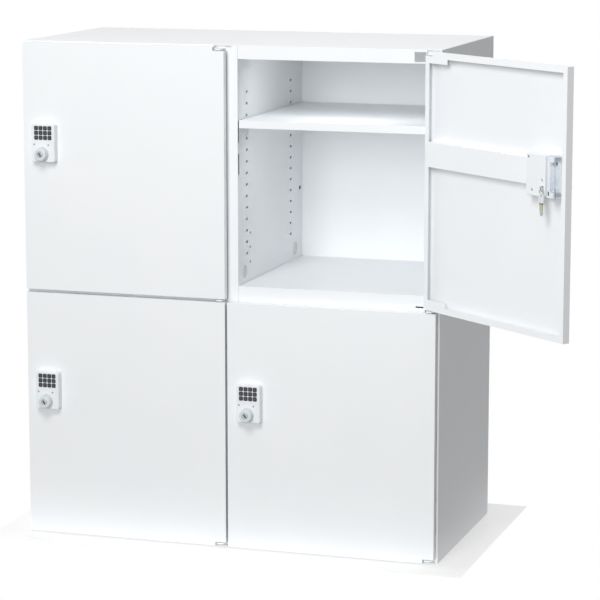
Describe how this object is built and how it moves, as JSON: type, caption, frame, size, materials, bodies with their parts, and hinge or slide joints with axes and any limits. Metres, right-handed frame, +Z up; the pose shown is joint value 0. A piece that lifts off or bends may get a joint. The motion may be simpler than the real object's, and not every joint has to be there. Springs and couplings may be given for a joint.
{
  "type": "parcel locker",
  "caption": "Free-standing steel parcel locker, two by two compartments, with pin-hinged doors, keypad locks with knobs and latch bolts, and removable shelves; upper right door stands open.",
  "frame": {"origin": "middle of the cabinet body's base, on the floor", "axes": "+X to the right seen from the front, +Y to the back, +Z up; the doors face -Y"},
  "size_m": [1.2223, 0.7193, 1.05],
  "materials": {
    "powder_coat": "satin white powder coat with a fine orange-peel grain",
    "lock_plastic": "satin white moulded ABS",
    "knob_plastic": "satin light grey moulded ABS with a metal key cylinder",
    "key_rubber": "matte dark grey silicone",
    "plated_steel": "bright zinc plate",
    "key_brass": "worn nickel-plated brass"
  },
  "bodies": {
    "cabinet": {"left_side_panel": "powder_coat", "right_side_panel": "powder_coat", "top_panel": "powder_coat", "bottom_panel": "powder_coat", "back_panel": "powder_coat", "left_liner": "powder_coat", "centre_partition": "powder_coat", "right_liner": "powder_coat", "left_header": "powder_coat", "left_divider": "powder_coat", "left_lower_floor": "powder_coat", "left_bottom_hinge_bracket": "powder_coat", "left_middle_hinge_bracket": "powder_coat", "left_top_hinge_bracket": "powder_coat", "top_left_shelf": "powder_coat", "bottom_left_shelf": "powder_coat", "right_header": "powder_coat", "right_divider": "powder_coat", "right_lower_floor": "powder_coat", "right_bottom_hinge_bracket": "powder_coat", "right_middle_hinge_bracket": "powder_coat", "right_top_hinge_bracket": "powder_coat", "top_right_shelf": "powder_coat", "bottom_right_shelf": "powder_coat"},
    "door_top_left": {"top_left_door": "powder_coat", "top_left_lock_housing": "lock_plastic", "top_left_lock_case": "plated_steel"},
    "knob_top_left": {"top_left_lock_knob": "knob_plastic"},
    "bolt_top_left": {"top_left_latch_bolt": "plated_steel"},
    "push_key_01": {"top_left_push_key_01": "key_rubber"},
    "push_key_02": {"top_left_push_key_02": "key_rubber"},
    "push_key_03": {"top_left_push_key_03": "key_rubber"},
    "push_key_04": {"top_left_push_key_04": "key_rubber"},
    "push_key_05": {"top_left_push_key_05": "key_rubber"},
    "push_key_06": {"top_left_push_key_06": "key_rubber"},
    "push_key_07": {"top_left_push_key_07": "key_rubber"},
    "push_key_08": {"top_left_push_key_08": "key_rubber"},
    "push_key_09": {"top_left_push_key_09": "key_rubber"},
    "push_key_10": {"top_left_push_key_10": "key_rubber"},
    "push_key_11": {"top_left_push_key_11": "key_rubber"},
    "push_key_12": {"top_left_push_key_12": "key_rubber"},
    "door_top_right": {"top_right_door": "powder_coat", "top_right_lock_housing": "lock_plastic", "top_right_lock_case": "plated_steel", "top_right_keypad": "key_rubber"},
    "knob_top_right": {"top_right_lock_knob": "knob_plastic"},
    "bolt_top_right": {"top_right_latch_bolt": "plated_steel"},
    "spare_key": {"spare_key": "key_brass"},
    "door_bottom_left": {"bottom_left_door": "powder_coat", "bottom_left_lock_housing": "lock_plastic", "bottom_left_lock_case": "plated_steel", "bottom_left_keypad": "key_rubber"},
    "knob_bottom_left": {"bottom_left_lock_knob": "knob_plastic"},
    "bolt_bottom_left": {"bottom_left_latch_bolt": "plated_steel"},
    "door_bottom_right": {"bottom_right_door": "powder_coat", "bottom_right_lock_housing": "lock_plastic", "bottom_right_lock_case": "plated_steel", "bottom_right_keypad": "key_rubber"},
    "knob_bottom_right": {"bottom_right_lock_knob": "knob_plastic"},
    "bolt_bottom_right": {"bottom_right_latch_bolt": "plated_steel"}
  },
  "joints": [
    {"name": "door_top_left", "type": "hinge", "parent": "cabinet", "child": "door_top_left", "pos_m": [-0.0155, -0.2265, 0.788], "axis": [0, 0, 1], "range_deg": [0, 130]},
    {"name": "door_top_right", "type": "hinge", "parent": "cabinet", "child": "door_top_right", "pos_m": [0.433, -0.2265, 0.788], "axis": [0, 0, 1], "range_deg": [-141, 4]},
    {"name": "door_bottom_left", "type": "hinge", "parent": "cabinet", "child": "door_bottom_left", "pos_m": [-0.0155, -0.2265, 0.263], "axis": [0, 0, 1], "range_deg": [0, 130]},
    {"name": "door_bottom_right", "type": "hinge", "parent": "cabinet", "child": "door_bottom_right", "pos_m": [0.433, -0.2265, 0.263], "axis": [0, 0, 1], "range_deg": [0, 145]},
    {"name": "knob_top_left", "type": "hinge", "parent": "door_top_left", "child": "knob_top_left", "pos_m": [-0.398, -0.257, 0.817], "axis": [0, 1, 0], "range_deg": [0, 90]},
    {"name": "knob_top_right", "type": "hinge", "parent": "door_top_right", "child": "knob_top_right", "pos_m": [0.74945, -0.44351, 0.817], "axis": [-0.6293, -0.7771, 0], "range_deg": [0, 90]},
    {"name": "knob_bottom_left", "type": "hinge", "parent": "door_bottom_left", "child": "knob_bottom_left", "pos_m": [-0.398, -0.257, 0.292], "axis": [0, 1, 0], "range_deg": [0, 90]},
    {"name": "knob_bottom_right", "type": "hinge", "parent": "door_bottom_right", "child": "knob_bottom_right", "pos_m": [0.0505, -0.257, 0.292], "axis": [0, 1, 0], "range_deg": [0, 90]},
    {"name": "latch_top_left", "type": "slide", "parent": "door_top_left", "child": "bolt_top_left", "axis": [-1, 0, 0], "range_m": [0, 0.012]},
    {"name": "latch_top_right", "type": "slide", "parent": "door_top_right", "child": "bolt_top_right", "axis": [0.7771, -0.6293, 0], "range_m": [0, 0.012]},
    {"name": "latch_bottom_left", "type": "slide", "parent": "door_bottom_left", "child": "bolt_bottom_left", "axis": [-1, 0, 0], "range_m": [0, 0.012]},
    {"name": "latch_bottom_right", "type": "slide", "parent": "door_bottom_right", "child": "bolt_bottom_right", "axis": [-1, 0, 0], "range_m": [0, 0.012]},
    {"name": "spare_key_swing", "type": "hinge", "parent": "door_top_right", "child": "spare_key", "pos_m": [0.71192, -0.47874, 0.817], "axis": [-0.6293, -0.7771, 0], "range_deg": [-35, 35]},
    {"name": "push_key_01", "type": "slide", "parent": "door_top_left", "child": "push_key_01", "axis": [0, 1, 0], "range_m": [0, 0.0012], "stiffness_N_per_m": 400},
    {"name": "push_key_02", "type": "slide", "parent": "door_top_left", "child": "push_key_02", "axis": [0, 1, 0], "range_m": [0, 0.0012], "stiffness_N_per_m": 400},
    {"name": "push_key_03", "type": "slide", "parent": "door_top_left", "child": "push_key_03", "axis": [0, 1, 0], "range_m": [0, 0.0012], "stiffness_N_per_m": 400},
    {"name": "push_key_04", "type": "slide", "parent": "door_top_left", "child": "push_key_04", "axis": [0, 1, 0], "range_m": [0, 0.0012], "stiffness_N_per_m": 400},
    {"name": "push_key_05", "type": "slide", "parent": "door_top_left", "child": "push_key_05", "axis": [0, 1, 0], "range_m": [0, 0.0012], "stiffness_N_per_m": 400},
    {"name": "push_key_06", "type": "slide", "parent": "door_top_left", "child": "push_key_06", "axis": [0, 1, 0], "range_m": [0, 0.0012], "stiffness_N_per_m": 400},
    {"name": "push_key_07", "type": "slide", "parent": "door_top_left", "child": "push_key_07", "axis": [0, 1, 0], "range_m": [0, 0.0012], "stiffness_N_per_m": 400},
    {"name": "push_key_08", "type": "slide", "parent": "door_top_left", "child": "push_key_08", "axis": [0, 1, 0], "range_m": [0, 0.0012], "stiffness_N_per_m": 400},
    {"name": "push_key_09", "type": "slide", "parent": "door_top_left", "child": "push_key_09", "axis": [0, 1, 0], "range_m": [0, 0.0012], "stiffness_N_per_m": 400},
    {"name": "push_key_10", "type": "slide", "parent": "door_top_left", "child": "push_key_10", "axis": [0, 1, 0], "range_m": [0, 0.0012], "stiffness_N_per_m": 400},
    {"name": "push_key_11", "type": "slide", "parent": "door_top_left", "child": "push_key_11", "axis": [0, 1, 0], "range_m": [0, 0.0012], "stiffness_N_per_m": 400},
    {"name": "push_key_12", "type": "slide", "parent": "door_top_left", "child": "push_key_12", "axis": [0, 1, 0], "range_m": [0, 0.0012], "stiffness_N_per_m": 400}
  ],
  "couplings": [
    {"joint": "knob_top_left", "follows": "latch_top_left", "rad_per_m": 130.9},
    {"joint": "knob_top_right", "follows": "latch_top_right", "rad_per_m": 130.9},
    {"joint": "knob_bottom_left", "follows": "latch_bottom_left", "rad_per_m": 130.9},
    {"joint": "knob_bottom_right", "follows": "latch_bottom_right", "rad_per_m": 130.9}
  ]
}
